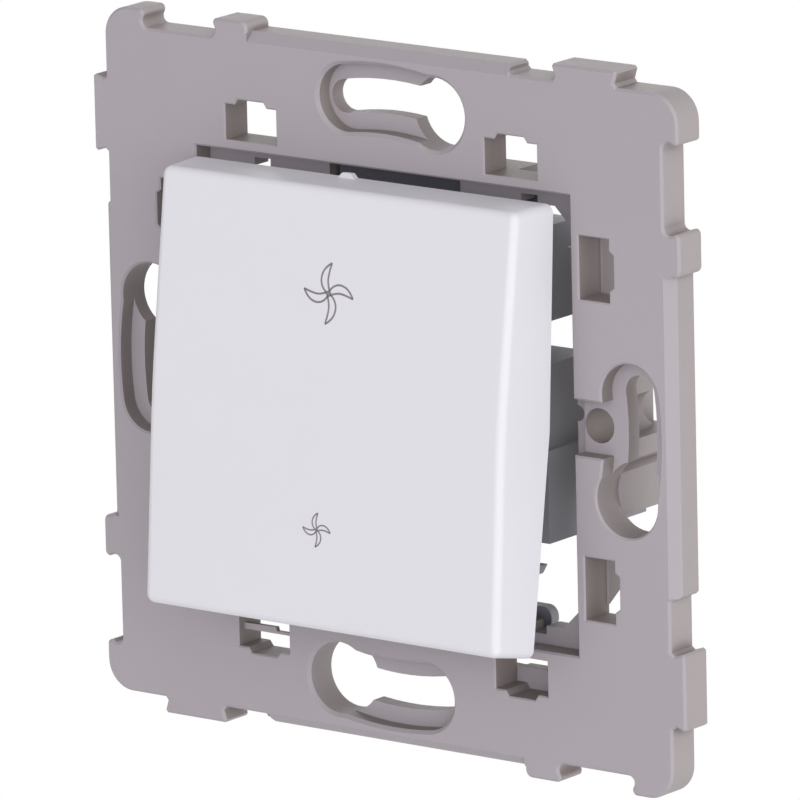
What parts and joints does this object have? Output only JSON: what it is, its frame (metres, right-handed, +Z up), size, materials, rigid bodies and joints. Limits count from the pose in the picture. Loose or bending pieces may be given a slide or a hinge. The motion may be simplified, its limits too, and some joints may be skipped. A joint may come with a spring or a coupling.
{
  "type": "fan switch",
  "caption": "Square flush wall switch for a fan: a tilting rocker on a slotted support frame, with a see-saw contact body and screw terminals behind.",
  "frame": {"origin": "middle of the aperture, in the plane of the plate's back, which is the wall", "axes": "+Y into the wall, -Y towards the room, +Z up, +X to the right as seen from the room"},
  "size_m": [0.0722, 0.0296, 0.0722],
  "materials": {
    "frame_plastic": "fine matt moulded grey",
    "rocker_plastic": "satin white",
    "body_plastic": "matt dark grey",
    "cradle_plastic": "satin light grey",
    "plunger_plastic": "smooth natural nylon",
    "spring_steel": "bright wire",
    "blade_copper": "rolled copper",
    "contact_silver": "silver face",
    "strip_brass": "rolled strip",
    "terminal_brass": "turned and milled",
    "screw_steel": "zinc plated"
  },
  "bodies": {
    "base": {"support_frame": "frame_plastic", "switch_cover": "body_plastic", "switch_base": "body_plastic", "common_bracket": "strip_brass", "high_speed_strip": "strip_brass", "low_speed_strip": "strip_brass", "high_speed_tip": "contact_silver", "low_speed_tip": "contact_silver", "common_terminal": "terminal_brass", "high_speed_terminal": "terminal_brass", "low_speed_terminal": "terminal_brass", "common_screw": "screw_steel", "high_speed_screw": "screw_steel", "low_speed_screw": "screw_steel"},
    "rocker": {"rocker_cap": "rocker_plastic", "rocker_cradle": "cradle_plastic"},
    "plunger": {"plunger": "plunger_plastic", "plunger_spring": "spring_steel"},
    "blade": {"contact_blade": "blade_copper", "upper_blade_tip": "contact_silver", "lower_blade_tip": "contact_silver"}
  },
  "joints": [
    {"name": "rocker_tilt", "type": "hinge", "parent": "base", "child": "rocker", "pos_m": [0, -0.0061, 0], "axis": [1, 0, 0], "range_deg": [0, 12.3]},
    {"name": "blade_tilt", "type": "hinge", "parent": "base", "child": "blade", "pos_m": [0, 0.0065, 0], "axis": [1, 0, 0], "range_deg": [-12, 0]},
    {"name": "plunger_slide", "type": "slide", "parent": "rocker", "child": "plunger", "axis": [0, -0.9942, 0.1071], "range_m": [0, 0.0006], "stiffness_N_per_m": 300, "springref_m": -0.002, "deforming": ["plunger_spring"]}
  ],
  "couplings": [
    {"joint": "blade_tilt", "follows": "rocker_tilt", "ratio": -0.97561}
  ]
}
